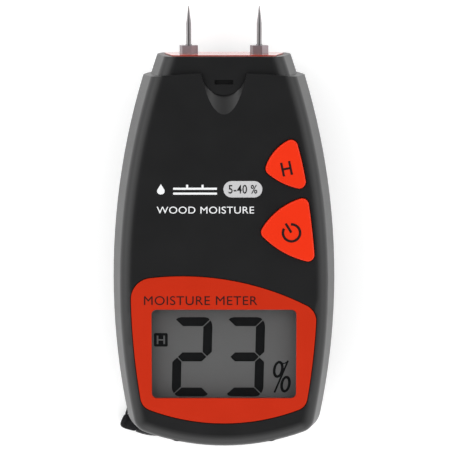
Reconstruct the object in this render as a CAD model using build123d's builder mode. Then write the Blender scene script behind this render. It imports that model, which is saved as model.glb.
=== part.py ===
from build123d import *
from math import atan, cos, degrees, pi, radians, sin, tan
import os

# A pin moisture meter lying on its back, in millimetres.
# +Z points out of its face, +Y towards its needles, and z = 0 is the surface that it lies on.

# Casing
CASE_WIDTH = 65.0
CASE_DEPTH = 29.0
BUTT_Y = -65.0
SHOULDER_Y = 46.4
HEAD_END_Y = 51.0
PARTING_Z = 14.5
SIDE_RADIUS = 206.0
WIDEST_Y = -15.5
BUTT_RADIUS = 69.0
SHOULDER_RADIUS = 200.0
CORNER_RADIUS = 7.0
FRONT_DRAFT = 12.0
FRONT_FOLD = 4.0
BACK_ROUNDING = 10.0
ROUNDING_STEPS = 5
BELLY_START_Y = 5.0
BELLY_RADIUS = 150.0
WALL = 2.2
BACK_WALL = 2.0
FRONT_WALL = 2.4
RUN_ON = 6.0
CAP_SEAT_STEP = 2.05
HEAD_DROP = 1.2
SEAM = 0.3
LIP_WALL = 0.9
LIP_HEIGHT = 1.2
CLEARANCE = 0.15
INNER_Z = CASE_DEPTH - FRONT_WALL

# Tongue recess, latch slot and thumb scoop
TONGUE_Y = 46.55
TONGUE_RADIUS = 6.4
SLOT_Y = 43.8
SLOT_SIZE = (5.3, 1.3)
SLOT_DEPTH = 1.0
SCOOP_END_Y = 34.75
SCOOP_RADIUS = 7.0
SCOOP_TILT = 19.7
SCOOP_PAD = (17.0, 12.0, 2.0)

# Display
DISPLAY_Y = -34.7
WINDOW_SIZE = (41.8, 26.2)
WINDOW_CORNER = 1.5
PANEL_THICKNESS = 0.8
PANEL_INSET = 5.7
PANEL_BUTT_Y = -55.2
PANEL_BUTT_RADIUS = 60.0
PANEL_TOP = (-12.0, -11.9)
PANEL_TOP_RADIUS = 79.0
PANEL_CORNERS = (4.0, 5.0, 6.2)
PANEL_GAP = 0.25
LENS_SIZE = (44.6, 28.5)
LENS_THICKNESS = 1.0
LENS_LEDGE = 0.6
GLASS_SIZE = (46.4, 29.4)
GLASS_THICKNESS = 0.7
CONTACT_LEDGE = 3.0
POLARISER_SIZE = (43.6, 27.0)
POLARISER_THICKNESS = 0.2
FRAME_WALL = 1.2
FRAME_LIP = 1.3

# Buttons and their switches: corners in order top, left, right, with the bulge of the side that follows
HOLD_CORNERS = ((20.3, 28.2), (11.6, 18.7), (23.7, 13.2))
HOLD_BULGES = (1.7, 1.1, 0.3)
POWER_CORNERS = ((23.9, 11.2), (10.2, 0.7), (26.1, -7.9))
POWER_BULGES = (2.0, 1.6, 0.2)
BUTTON_CORNER = 1.9
BUTTON_PROUD = 0.9
BUTTON_GAP = 0.25
BUTTON_FLANGE = 0.8
BUTTON_FLANGE_WALL = 0.8
BUTTON_EDGE = 0.45
BUTTON_TRAVEL = 0.5
HOLD_SWITCH = (18.6, 20.4)
POWER_SWITCH = (20.0, 1.3)
SWITCH_SIZE = 5.2
SWITCH_HEIGHT = 2.0
PLUNGER_RADIUS = 1.25
PLUNGER_TOP_Z = 25.3
PLUNGER_GAP = 0.1

# Board
BOARD_TOP_Z = 22.3
BOARD_THICKNESS = 1.6
BOARD_INSET = 5.0
BOARD_ENDS = (-52.5, 31.0)
BOARD_SCREWS = ((-21.0, -14.6), (21.0, -14.6), (-14.0, 27.0))
BOARD_SCREW_RADIUS = 0.9
BOARD_UNDER_Z = BOARD_TOP_Z - BOARD_THICKNESS

# Battery, its compartment and its door
BATTERY_SIZE = (26.5, 48.5, 17.5)
BATTERY_END_Y = -48.5
BATTERY_FLOOR_Z = 2.0
BATTERY_SIDE_GAP = 0.75
TUB_WALL = 1.6
TUB_TOP_Z = 20.6
TUB_CEILING = 1.0
TUB_ENDS = (-49.0, 7.6)
DOOR_HINGE_Y = -52.0
DOOR_END_Y = 8.0
DOOR_WIDTH = 31.0
DOOR_THICKNESS = 1.8
DOOR_GAP = 0.3
TAB_X = 8.0
TAB_WIDTH = 5.0
TAB_REACH = 2.3
TAB_THICKNESS = 0.9
TAB_CLEAR_Z = 2.4
HOOK_POCKET = (24.0, -54.7, 5.2)

# Casing screws: x, y and the height of the seat of each head
CASE_SCREWS = ((-13.5, -58.3, 5.0), (13.5, -58.3, 5.0), (-17.0, 36.0, 8.5), (17.0, 36.0, 8.5))
SCREW_RADIUS = 1.3
SCREW_LENGTH = 13.0
SCREW_HEAD_RADIUS = 2.5
SCREW_HEAD_HEIGHT = 1.7
BOSS_RADIUS = 2.8

# Electrodes
PIN_X = 10.15
PIN_Z = 17.0
NEEDLE_RADIUS = 0.7
NEEDLE_CONE_Y = 60.0
NEEDLE_TIP_Y = 65.0
NEEDLE_ROOT_Y = 44.2
NEEDLE_TIP_RADIUS = 0.08
NEEDLE_ROOT_RADIUS = 0.9
NEEDLE_SHOULDER = 0.3
PLATE_PROUD = 0.3
PLATE_HALF_WIDTHS = (14.6, 17.2, 16.9, 13.6)
PLATE_HEIGHTS = (25.6, 14.5, 12.4, 9.2)
PLATE_CORNER = 1.2
BLOCK_FLANGE = 0.6
BLOCK_FLANGE_ENDS = (46.6, 48.6)
END_WALL_Y = 48.8
SOCKET_RADIUS = 2.5
SOCKET_END_Y = 40.5
STUD_RADIUS = 1.5
STUD_END_Y = 34.8
BARREL_RADIUS = 3.6
BARREL_END_Y = 41.5
COLLAR_FLATS = 4.7
COLLAR_HEIGHT = 2.35
COLLAR_TURN = 12.0
FIT = 0.05

# Strap: the eye's post stands in a slot on the left side, behind the fold
POST = (-24.5, -51.0)
POST_RADIUS = 1.0
EYE_SLOT = (5.2, 3.0, 6.6)
EYE_BLOCK = (-31.0, -19.6, -56.0, -46.0, 8.8)
STRING_RADIUS = 0.4
STRING_LOOP = 1.55
CORD_RADIUS = 1.0
SLEEVE_ENDS = ((-31.1, -60.9), (-26.2, -62.9))
SLEEVE_SIZE = (4.2, 2.8)
SLEEVE_CORNER = 1.2
FLOOR_GAP = 0.05
STRING_ROUTE = (
    (-29.75, -59.18, 1.4),
    (-29.03, -57.42, 1.4),
    (-29.3, -54.4, 2.6),
    (-29.2, -49.45, 4.8),
    (-22.95, -49.45, 4.8),
    (-22.95, -52.55, 4.8),
    (-26.2, -52.55, 4.8),
    (-28.1, -54.2, 3.8),
    (-27.95, -56.1, 2.2),
    (-27.83, -57.91, 1.4),
    (-28.55, -59.67, 1.4),
)
CORD_ROUTE = (
    (-26.597, -63.872),
    (-24.19, -64.855),
    (-19.2, -65.29),
    (-9.5, -65.3),
    (3.5, -65.8),
    (15.5, -64.1),
    (25.0, -60.2),
    (28.8, -53.2),
    (30.2, -42.5),
    (31.4, -27.0),
    (31.4, -9.0),
    (29.9, 9.0),
    (27.3, 24.6),
    (24.9, 36.0),
    (20.7, 43.9),
    (14.9, 48.4),
    (8.5, 48.4),
    (4.3, 44.2),
    (4.3, 38.3),
    (8.5, 34.1),
    (15.0, 34.3),
    (19.6, 33.6),
    (22.9, 30.9),
    (24.7, 26.6),
    (25.7, 17.0),
    (27.9, 4.0),
    (29.2, -11.0),
    (29.2, -27.0),
    (28.0, -42.2),
    (26.6, -52.0),
    (23.3, -58.3),
    (14.9, -62.1),
    (3.2, -63.6),
    (-9.6, -63.1),
    (-19.2, -63.15),
    (-23.396, -62.911),
    (-25.803, -61.928),
)

LEAD_RADIUS = 0.6

UP = (0, 0, 1)
INWARD = (0, -1, 0)


def corner_at(inset):
    """The plan corner radius, which shrinks smoothly as the outline moves in."""
    return CORNER_RADIUS / (1 + inset / CORNER_RADIUS)


def casing_outline(z, inset):
    """The casing's outline moved in by inset, running on past the head."""
    centre = SIDE_RADIUS - CASE_WIDTH / 2
    with BuildSketch(Plane.XY.offset(z)) as outline:
        with Locations((-centre, WIDEST_Y)):
            Circle(SIDE_RADIUS - inset)
        with Locations((centre, WIDEST_Y)):
            Circle(SIDE_RADIUS - inset, mode=Mode.INTERSECT)
        with Locations((0, BUTT_Y + BUTT_RADIUS)):
            Circle(BUTT_RADIUS - inset, mode=Mode.INTERSECT)
        with Locations((0, HEAD_END_Y + RUN_ON)):
            Rectangle(
                2 * CASE_WIDTH, 2 * BUTT_RADIUS, align=(Align.CENTER, Align.MAX), mode=Mode.INTERSECT
            )
        fillet(outline.vertices().sort_by(Axis.Y)[:2], corner_at(inset))
    return outline.sketch


def body_region(setback=0.0):
    """All that lies below the crowned shoulder."""
    with BuildPart() as region:
        with BuildSketch():
            with Locations((0, SHOULDER_Y - SHOULDER_RADIUS - setback)):
                Circle(SHOULDER_RADIUS)
        extrude(amount=2 * CASE_DEPTH)
    return region.part


def head_region(setback=0.0):
    """All that lies below the flat end of the head."""
    with BuildPart() as region:
        with BuildSketch():
            with Locations((0, HEAD_END_Y - setback)):
                Rectangle(2 * CASE_WIDTH, 3 * CASE_WIDTH, align=(Align.CENTER, Align.MAX))
        extrude(amount=2 * CASE_DEPTH)
    return region.part


def above_back(wall):
    """All that lies above the back, whose upper part rises away from the table in a long arc."""
    with BuildPart() as region:
        with BuildSketch(Plane.YZ):
            with Locations((BELLY_START_Y, BELLY_RADIUS)):
                Circle(BELLY_RADIUS - wall)
            with Locations((BELLY_START_Y, wall)):
                Rectangle(3 * CASE_WIDTH, 2 * CASE_DEPTH, align=(Align.MAX, Align.MIN))
        extrude(amount=CASE_WIDTH, both=True)
    return region.part


def front_form(z, inset, top_z, fold=0.0):
    """The drafted front half, with its face folded softly into its sides."""
    with BuildPart() as form:
        extrude(casing_outline(z, inset), amount=top_z - z, taper=FRONT_DRAFT)
        if fold:
            fillet(form.faces().sort_by(Axis.Z)[-1].edges(), fold)
    return form.part


def rear_form(inset, floor_z):
    """The rounded back half: outlines lofted round a quarter of an ellipse."""
    sections = []
    for step in range(ROUNDING_STEPS + 1):
        angle = radians(90 * (1 - step / ROUNDING_STEPS))
        height = floor_z + (PARTING_Z - floor_z) * (1 - sin(angle))
        sections.append(casing_outline(height, inset + BACK_ROUNDING * (1 - cos(angle))))
    with BuildPart() as form:
        loft(sections)
    return form.part


def casing_plan(z, inset):
    """Body and stepped head together, in plan."""
    with BuildSketch(Plane.XY.offset(z)) as plan:
        add(casing_outline(z, inset))
        with Locations((0, SHOULDER_Y - SHOULDER_RADIUS - inset)):
            Circle(SHOULDER_RADIUS, mode=Mode.INTERSECT)
    with BuildSketch(Plane.XY.offset(z)) as head:
        add(casing_outline(z, inset + CAP_SEAT_STEP))
        with Locations((0, HEAD_END_Y - inset)):
            Rectangle(
                2 * CASE_WIDTH, 3 * CASE_WIDTH, align=(Align.CENTER, Align.MAX), mode=Mode.INTERSECT
            )
    return plan.sketch + head.sketch


def panel_outline(z, grow=0.0):
    """The bezel panel: it follows the sides, and its top falls away to the right."""
    centre = SIDE_RADIUS - CASE_WIDTH / 2
    with BuildSketch(Plane.XY.offset(z)) as outline:
        with Locations((-centre, WIDEST_Y)):
            Circle(SIDE_RADIUS - PANEL_INSET + grow)
        with Locations((centre, WIDEST_Y)):
            Circle(SIDE_RADIUS - PANEL_INSET + grow, mode=Mode.INTERSECT)
        with Locations((0, PANEL_BUTT_Y + PANEL_BUTT_RADIUS)):
            Circle(PANEL_BUTT_RADIUS + grow, mode=Mode.INTERSECT)
        with Locations((PANEL_TOP[0], PANEL_TOP[1] - PANEL_TOP_RADIUS)):
            Circle(PANEL_TOP_RADIUS + grow, mode=Mode.INTERSECT)
        fillet(outline.vertices().sort_by(Axis.Y)[:2], PANEL_CORNERS[0] + grow)
        fillet(outline.vertices().sort_by(Axis.X)[-1], PANEL_CORNERS[1] + grow)
        fillet(outline.vertices().sort_by(Axis.Y)[-1], PANEL_CORNERS[2] + grow)
    return facing(outline.sketch, UP)


def button_outline(corners, bulges, z, grow=0.0):
    """A rounded triangle with bulging sides."""
    with BuildSketch(Plane.XY.offset(z)) as outline:
        with BuildLine():
            for index, bulge in enumerate(bulges):
                SagittaArc(corners[index], corners[(index + 1) % len(corners)], -bulge)
        make_face()
        fillet(outline.vertices(), BUTTON_CORNER)
        if grow:
            offset(amount=grow, kind=Kind.ARC)
    return facing(outline.sketch, UP)


def plate_outline(y, grow=0.0):
    """The end of the electrode block, which follows the section of the head."""
    right = list(zip(PLATE_HALF_WIDTHS, PLATE_HEIGHTS))
    left = [(-x, z) for x, z in reversed(right)]
    with BuildSketch(Plane.XZ.offset(-y)) as outline:
        with BuildLine():
            Polyline(*right, *left, close=True)
        make_face()
        fillet(outline.vertices(), PLATE_CORNER)
        if grow:
            offset(amount=grow, kind=Kind.ARC)
    return facing(outline.sketch, INWARD)


def facing(sketch, direction):
    """The same sketch with its faces turned to look along direction."""
    turned = [face if face.normal_at().dot(Vector(*direction)) > 0 else -face for face in sketch.faces()]
    return Sketch(turned)


def block(low, high):
    """A plain box between two corners."""
    size = [b - a for a, b in zip(low, high)]
    middle = [(a + b) / 2 for a, b in zip(low, high)]
    return Pos(*middle) * Box(*size, mode=Mode.PRIVATE)


def tube(points, radii, radius):
    """A round tube along straight runs joined by tangent arcs."""
    with BuildPart() as form:
        with BuildLine() as route:
            if len(points) > 2:
                FilletPolyline(*points, radius=radii)
            else:
                Line(*points)
        with BuildSketch(Plane(origin=route.line @ 0, z_dir=route.line % 0)):
            Circle(radius)
        sweep(path=route.line)
    return form.part


def corner_radii(points):
    """0.45 of the shorter run at each corner, divided by the tangent of half the turn."""
    radii = []
    for before, corner, after in zip(points, points[1:], points[2:]):
        run_in = Vector(*corner) - Vector(*before)
        run_out = Vector(*after) - Vector(*corner)
        half_turn = radians(run_in.get_angle(run_out)) / 2
        radii.append(0.45 * min(run_in.length, run_out.length) / tan(half_turn))
    return radii


def finish(piece, name):
    """Label a finished piece and write its file."""
    piece.part.label = name
    export_step(piece.part, f"parts/{name}.step")


os.makedirs("parts", exist_ok=True)

# ---------------------------------------------------------------- casing
head_front_z = CASE_DEPTH - HEAD_DROP
with BuildPart() as scoop_tool:
    slope = Vector(0, cos(radians(SCOOP_TILT)), -sin(radians(SCOOP_TILT)))
    rise = Vector(0, sin(radians(SCOOP_TILT)), cos(radians(SCOOP_TILT)))
    start = Vector(0, SCOOP_END_Y, CASE_DEPTH) + rise * SCOOP_RADIUS
    with BuildSketch(Plane(origin=start - slope * SCOOP_RADIUS, x_dir=(1, 0, 0), z_dir=slope)):
        Circle(SCOOP_RADIUS)
    extrude(amount=4 * SCOOP_RADIUS)
    with BuildSketch():
        with Locations((0, TONGUE_Y)):
            Circle(TONGUE_RADIUS)
        with Locations((0, TONGUE_Y)):
            Rectangle(4 * TONGUE_RADIUS, 4 * TONGUE_RADIUS, align=(Align.CENTER, Align.MIN))
    extrude(amount=2 * CASE_DEPTH, mode=Mode.SUBTRACT)

with BuildPart() as room_tool:
    extrude(plate_outline(HEAD_END_Y + 1, CLEARANCE), amount=6, dir=INWARD)
    extrude(
        plate_outline(BLOCK_FLANGE_ENDS[1] + 0.1, BLOCK_FLANGE + CLEARANCE),
        amount=BLOCK_FLANGE_ENDS[1] - BLOCK_FLANGE_ENDS[0] + 0.2,
        dir=INWARD,
    )
electrode_room = room_tool.part

with BuildPart() as front_shell:
    add(front_form(PARTING_Z + SEAM, 0, CASE_DEPTH, FRONT_FOLD) & body_region())
    add(front_form(PARTING_Z + SEAM, CAP_SEAT_STEP, head_front_z, FRONT_FOLD) & head_region())
    extrude(casing_plan(PARTING_Z, SEAM), amount=SEAM)
    cavity = front_form(PARTING_Z, WALL, INNER_Z) & body_region(WALL)
    add(cavity, mode=Mode.SUBTRACT)
    head_cavity = front_form(PARTING_Z, WALL + CAP_SEAT_STEP, head_front_z - WALL)
    add(head_cavity & head_region(HEAD_END_Y - END_WALL_Y), mode=Mode.SUBTRACT)
    extrude(
        casing_plan(PARTING_Z, WALL - LIP_WALL - CLEARANCE),
        amount=LIP_HEIGHT + CLEARANCE,
        mode=Mode.SUBTRACT,
    )
    # inner pad behind the scoop and the latch slot
    pad_top_y = TONGUE_Y - 0.9
    add(
        block(
            (-SCOOP_PAD[0] / 2, pad_top_y - SCOOP_PAD[1], INNER_Z - SCOOP_PAD[2]),
            (SCOOP_PAD[0] / 2, pad_top_y, INNER_Z + 0.1),
        )
    )
    # tongue recess, latch slot and scoop
    with BuildSketch(Plane.XY.offset(head_front_z)):
        with Locations((0, TONGUE_Y)):
            Circle(TONGUE_RADIUS)
    extrude(amount=CASE_DEPTH, mode=Mode.SUBTRACT)
    with BuildSketch(Plane.XY.offset(head_front_z)):
        with Locations((0, SLOT_Y)):
            Rectangle(*SLOT_SIZE)
    extrude(amount=-SLOT_DEPTH, mode=Mode.SUBTRACT)
    add(scoop_tool.part, mode=Mode.SUBTRACT)
    # recess of the panel, pocket of the lens and opening for the display
    panel_z = CASE_DEPTH - PANEL_THICKNESS
    extrude(panel_outline(panel_z, PANEL_GAP), CASE_DEPTH, dir=UP, mode=Mode.SUBTRACT)
    with BuildSketch(Plane.XY.offset(panel_z)):
        with Locations((0, DISPLAY_Y)):
            Rectangle(LENS_SIZE[0] + 2 * CLEARANCE, LENS_SIZE[1] + 2 * CLEARANCE)
    extrude(amount=-LENS_THICKNESS, mode=Mode.SUBTRACT)
    with BuildSketch(Plane.XY.offset(panel_z)):
        with Locations((0, DISPLAY_Y)):
            Rectangle(WINDOW_SIZE[0] + LENS_LEDGE, WINDOW_SIZE[1] + LENS_LEDGE)
    extrude(amount=-CASE_DEPTH / 4, mode=Mode.SUBTRACT)
    # openings of the buttons
    for corners, bulges in ((HOLD_CORNERS, HOLD_BULGES), (POWER_CORNERS, POWER_BULGES)):
        extrude(
            button_outline(corners, bulges, INNER_Z - 1, BUTTON_GAP),
            amount=CASE_DEPTH,
            dir=UP,
            mode=Mode.SUBTRACT,
        )
    # bosses for the casing screws and for the board's screws
    with BuildSketch(Plane.XY.offset(PARTING_Z)):
        with Locations(*[(x, y) for x, y, _ in CASE_SCREWS]):
            Circle(BOSS_RADIUS)
            Circle(SCREW_RADIUS + FIT, mode=Mode.SUBTRACT)
    extrude(amount=INNER_Z - PARTING_Z + 0.2)
    with BuildSketch(Plane.XY.offset(BOARD_TOP_Z)):
        with Locations(*BOARD_SCREWS):
            Circle(BOSS_RADIUS - 0.6)
            Circle(BOARD_SCREW_RADIUS + FIT, mode=Mode.SUBTRACT)
    extrude(amount=INNER_Z - BOARD_TOP_Z + 0.2)
    add(electrode_room, mode=Mode.SUBTRACT)
finish(front_shell, "front_shell")


# rear shell: its back half, the lip, the battery tub, the strap's eye and the screw bosses
tub_half = BATTERY_SIZE[0] / 2 + BATTERY_SIDE_GAP
pocket_half = HOOK_POCKET[0] / 2
battery_top_z = BATTERY_FLOOR_Z + BATTERY_SIZE[2]
with BuildPart() as outer:
    add(rear_form(0, 0) & body_region())
    add(rear_form(CAP_SEAT_STEP, 0) & head_region())
    add(above_back(0), mode=Mode.INTERSECT)
with BuildPart() as rear_shell:
    add(outer.part)
    inner = rear_form(WALL, BACK_WALL) & body_region(WALL)
    inner_head = rear_form(WALL + CAP_SEAT_STEP, BACK_WALL) & head_region(HEAD_END_Y - END_WALL_Y)
    add((inner + inner_head) & above_back(WALL), mode=Mode.SUBTRACT)
    # inner lip that locates the two shells
    extrude(casing_plan(PARTING_Z - 0.5, WALL - LIP_WALL), amount=LIP_HEIGHT + 0.5)
    extrude(casing_plan(PARTING_Z - 0.5, WALL), amount=LIP_HEIGHT + 0.5, mode=Mode.SUBTRACT)
    add(electrode_room, mode=Mode.SUBTRACT)
    # battery tub with a low pocket for the door's hooks and a window for the leads
    add(
        block(
            (-tub_half - TUB_WALL, TUB_ENDS[0] - 1.2, BACK_WALL - 0.2),
            (tub_half + TUB_WALL, TUB_ENDS[1] + 1.2, TUB_TOP_Z),
        )
    )
    add(
        block(
            (-pocket_half - 1.2, HOOK_POCKET[1] - 1.2, BACK_WALL - 0.2),
            (pocket_half + 1.2, TUB_ENDS[0], HOOK_POCKET[2] + 1.0),
        )
    )
    add(
        block(
            (-tub_half, TUB_ENDS[0], BACK_WALL),
            (tub_half, TUB_ENDS[1], TUB_TOP_Z - TUB_CEILING),
        ),
        mode=Mode.SUBTRACT,
    )
    add(
        block((-pocket_half, HOOK_POCKET[1], BACK_WALL + 0.2), (pocket_half, TUB_ENDS[0], HOOK_POCKET[2])),
        mode=Mode.SUBTRACT,
    )
    add(block((-5, TUB_ENDS[1] - 1, 7), (5, TUB_ENDS[1] + 2, 12)), mode=Mode.SUBTRACT)
    # opening of the door, with a nail notch at its upper end
    add(
        block((-DOOR_WIDTH / 2, DOOR_HINGE_Y, -1), (DOOR_WIDTH / 2, DOOR_END_Y, BACK_WALL)),
        mode=Mode.SUBTRACT,
    )
    add(
        block((-pocket_half, DOOR_HINGE_Y, -1), (pocket_half, TUB_ENDS[0], BACK_WALL + 0.3)),
        mode=Mode.SUBTRACT,
    )
    with BuildSketch():
        with Locations((0, DOOR_END_Y)):
            Circle(5)
    extrude(amount=1.0, mode=Mode.SUBTRACT)
    # solid block in the corner for the strap's eye, then its slot round a post
    eye = block((EYE_BLOCK[0], EYE_BLOCK[2], 0), (EYE_BLOCK[1], EYE_BLOCK[3], EYE_BLOCK[4]))
    add(outer.part & eye)
    with BuildSketch(Plane.XY.offset(EYE_SLOT[1])):
        with Locations(POST):
            Circle(EYE_SLOT[0] / 2)
            Rectangle(2 * EYE_SLOT[0], EYE_SLOT[0], align=(Align.MAX, Align.CENTER))
            Circle(POST_RADIUS, mode=Mode.SUBTRACT)
    extrude(amount=EYE_SLOT[2] - EYE_SLOT[1], mode=Mode.SUBTRACT)
    # screw bosses with counterbores from the back
    for x, y, seat in CASE_SCREWS:
        with BuildSketch(Plane.XY.offset(seat - 2.2)):
            with Locations((x, y)):
                Circle(SCREW_HEAD_RADIUS + 1.4)
        extrude(amount=4.2)
        with BuildSketch(Plane.XY.offset(seat)):
            with Locations((x, y)):
                Circle(BOSS_RADIUS)
        extrude(amount=PARTING_Z - seat)
        with BuildSketch(Plane.XY.offset(seat)):
            with Locations((x, y)):
                Circle(SCREW_HEAD_RADIUS + CLEARANCE)
        extrude(amount=-CASE_DEPTH, mode=Mode.SUBTRACT)
        with BuildSketch(Plane.XY.offset(seat - 1)):
            with Locations((x, y)):
                Circle(SCREW_RADIUS + CLEARANCE)
        extrude(amount=PARTING_Z, mode=Mode.SUBTRACT)
    # ribs that stop the battery short of the hooks
    for side in (-1, 1):
        near, far = sorted((side * (tub_half - 3), side * (tub_half + 0.5)))
        add(block((near, TUB_ENDS[0] - 0.5, 7), (far, BATTERY_END_Y - CLEARANCE, TUB_TOP_Z - 0.5)))
finish(rear_shell, "rear_shell")

with BuildPart() as case_screws:
    for x, y, seat in CASE_SCREWS:
        with BuildSketch(Plane.XY.offset(seat)):
            with Locations((x, y)):
                Circle(SCREW_RADIUS)
        extrude(amount=SCREW_LENGTH)
        with BuildSketch(Plane.XY.offset(seat - SCREW_HEAD_HEIGHT)):
            with Locations((x, y)):
                Circle(SCREW_HEAD_RADIUS)
        extrude(amount=SCREW_HEAD_HEIGHT)
        with BuildSketch(Plane.XY.offset(seat - SCREW_HEAD_HEIGHT)):
            with Locations((x, y)):
                Rectangle(2.6, 0.6)
                Rectangle(0.6, 2.6)
        extrude(amount=0.9, mode=Mode.SUBTRACT)
finish(case_screws, "case_screws")

# ---------------------------------------------------------------- battery door
door_low = DOOR_HINGE_Y + DOOR_GAP
with BuildPart() as battery_door:
    add(
        block(
            (-DOOR_WIDTH / 2 + DOOR_GAP, door_low, 0),
            (DOOR_WIDTH / 2 - DOOR_GAP, DOOR_END_Y - DOOR_GAP, DOOR_THICKNESS),
        )
    )
    for side in (-1, 1):
        left, right = side * TAB_X - TAB_WIDTH / 2, side * TAB_X + TAB_WIDTH / 2
        tab_top = TAB_CLEAR_Z + TAB_THICKNESS
        add(block((left, door_low, DOOR_THICKNESS - 0.2), (right, door_low + 0.7, tab_top)))
        add(block((left, DOOR_HINGE_Y - TAB_REACH, TAB_CLEAR_Z), (right, door_low + 0.7, tab_top)))
    # thumb pad of grooves across the outside, near the catch
    with BuildSketch(Plane.XY):
        with GridLocations(0, 2.2, 1, 5):
            with Locations((0, DOOR_END_Y - 9)):
                SlotOverall(13, 1.0)
    extrude(amount=0.5, mode=Mode.SUBTRACT)
    # catch: a tongue behind the upper edge
    add(block((-4, DOOR_END_Y - 1.6, DOOR_THICKNESS - 0.1), (4, DOOR_END_Y - 0.75, 3.4)))
finish(battery_door, "battery_door")

# ---------------------------------------------------------------- bezel and display
with BuildPart() as bezel_panel:
    extrude(panel_outline(panel_z), PANEL_THICKNESS, dir=UP)
    with BuildSketch(Plane.XY.offset(panel_z)):
        with Locations((0, DISPLAY_Y)):
            RectangleRounded(*WINDOW_SIZE, WINDOW_CORNER)
    extrude(amount=PANEL_THICKNESS, mode=Mode.SUBTRACT)
finish(bezel_panel, "bezel_panel")

lens_z = panel_z - LENS_THICKNESS
with BuildPart() as display_lens:
    with BuildSketch(Plane.XY.offset(lens_z)):
        with Locations((0, DISPLAY_Y)):
            Rectangle(*LENS_SIZE)
    extrude(amount=LENS_THICKNESS)
finish(display_lens, "display_lens")

# the stack under the lens, from the frame's lip down
glass_top_z = INNER_Z - 0.7
rear_glass_z = glass_top_z - 2 * GLASS_THICKNESS
rear_glass_size = (GLASS_SIZE[0], GLASS_SIZE[1] - CONTACT_LEDGE)
rear_glass_y = DISPLAY_Y - CONTACT_LEDGE / 2
with BuildPart() as display_frame:
    outer_size = [side + 2 * FRAME_WALL for side in GLASS_SIZE]
    with BuildSketch(Plane.XY.offset(BOARD_TOP_Z)):
        with Locations((0, DISPLAY_Y)):
            Rectangle(*outer_size)
            Rectangle(GLASS_SIZE[0] + 0.2, GLASS_SIZE[1] + 0.2, mode=Mode.SUBTRACT)
    extrude(amount=glass_top_z - BOARD_TOP_Z)
    with BuildSketch(Plane.XY.offset(glass_top_z)):
        with Locations((0, DISPLAY_Y)):
            Rectangle(*outer_size)
            Rectangle(POLARISER_SIZE[0] + 0.4, POLARISER_SIZE[1] + 0.4, mode=Mode.SUBTRACT)
    extrude(amount=INNER_Z - 0.1 - glass_top_z)
finish(display_frame, "display_frame")

with BuildPart() as front_glass:
    with BuildSketch(Plane.XY.offset(glass_top_z - GLASS_THICKNESS)):
        with Locations((0, DISPLAY_Y)):
            Rectangle(*GLASS_SIZE)
    extrude(amount=GLASS_THICKNESS)
finish(front_glass, "display_front_glass")

with BuildPart() as rear_glass:
    with BuildSketch(Plane.XY.offset(rear_glass_z)):
        with Locations((0, rear_glass_y)):
            Rectangle(*rear_glass_size)
    extrude(amount=GLASS_THICKNESS)
finish(rear_glass, "display_rear_glass")

with BuildPart() as polariser:
    with BuildSketch(Plane.XY.offset(glass_top_z)):
        with Locations((0, DISPLAY_Y)):
            Rectangle(*POLARISER_SIZE)
    extrude(amount=POLARISER_THICKNESS)
finish(polariser, "display_polariser")

with BuildPart() as reflector:
    with BuildSketch(Plane.XY.offset(rear_glass_z)):
        with Locations((0, rear_glass_y)):
            Rectangle(rear_glass_size[0] - 1, rear_glass_size[1] - 1)
    extrude(amount=-POLARISER_THICKNESS)
finish(reflector, "display_reflector")

contact_y = DISPLAY_Y + GLASS_SIZE[1] / 2 - CONTACT_LEDGE / 2
with BuildPart() as contact_strip:
    with BuildSketch(Plane.XY.offset(BOARD_TOP_Z)):
        with Locations((0, contact_y + 0.2)):
            Rectangle(GLASS_SIZE[0] - 2, CONTACT_LEDGE - 1)
    extrude(amount=glass_top_z - GLASS_THICKNESS - BOARD_TOP_Z)
finish(contact_strip, "contact_strip")

# ---------------------------------------------------------------- buttons and switches
stem_z = PLUNGER_TOP_Z
flange_z = INNER_Z - 0.1 - BUTTON_FLANGE
for name, corners, bulges, switch in (
    ("hold", HOLD_CORNERS, HOLD_BULGES, HOLD_SWITCH),
    ("power", POWER_CORNERS, POWER_BULGES, POWER_SWITCH),
):
    with BuildPart() as button:
        extrude(
            button_outline(corners, bulges, flange_z),
            CASE_DEPTH + BUTTON_PROUD - flange_z,
            dir=UP,
        )
        fillet(button.faces().sort_by(Axis.Z)[-1].edges(), BUTTON_EDGE)
        extrude(button_outline(corners, bulges, flange_z, BUTTON_FLANGE_WALL), BUTTON_FLANGE, dir=UP)
        with BuildSketch(Plane.XY.offset(stem_z)):
            with Locations(switch):
                Circle(PLUNGER_RADIUS + 0.4)
        extrude(amount=flange_z - stem_z + 0.1)
    finish(button, f"{name}_button")

    with BuildPart() as body:
        with BuildSketch(Plane.XY.offset(BOARD_TOP_Z)):
            with Locations(switch):
                Rectangle(SWITCH_SIZE, SWITCH_SIZE)
        extrude(amount=SWITCH_HEIGHT)
        with BuildSketch(Plane.XY.offset(BOARD_TOP_Z + 0.5)):
            with Locations(switch):
                Circle(PLUNGER_RADIUS + PLUNGER_GAP)
        extrude(amount=SWITCH_HEIGHT, mode=Mode.SUBTRACT)
    finish(body, f"{name}_switch_body")

    with BuildPart() as plunger:
        with BuildSketch(Plane.XY.offset(BOARD_TOP_Z + 0.5 + BUTTON_TRAVEL + 0.3)):
            with Locations(switch):
                Circle(PLUNGER_RADIUS)
        extrude(amount=PLUNGER_TOP_Z - BOARD_TOP_Z - 0.8 - BUTTON_TRAVEL)
    finish(plunger, f"{name}_switch_plunger")

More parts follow.
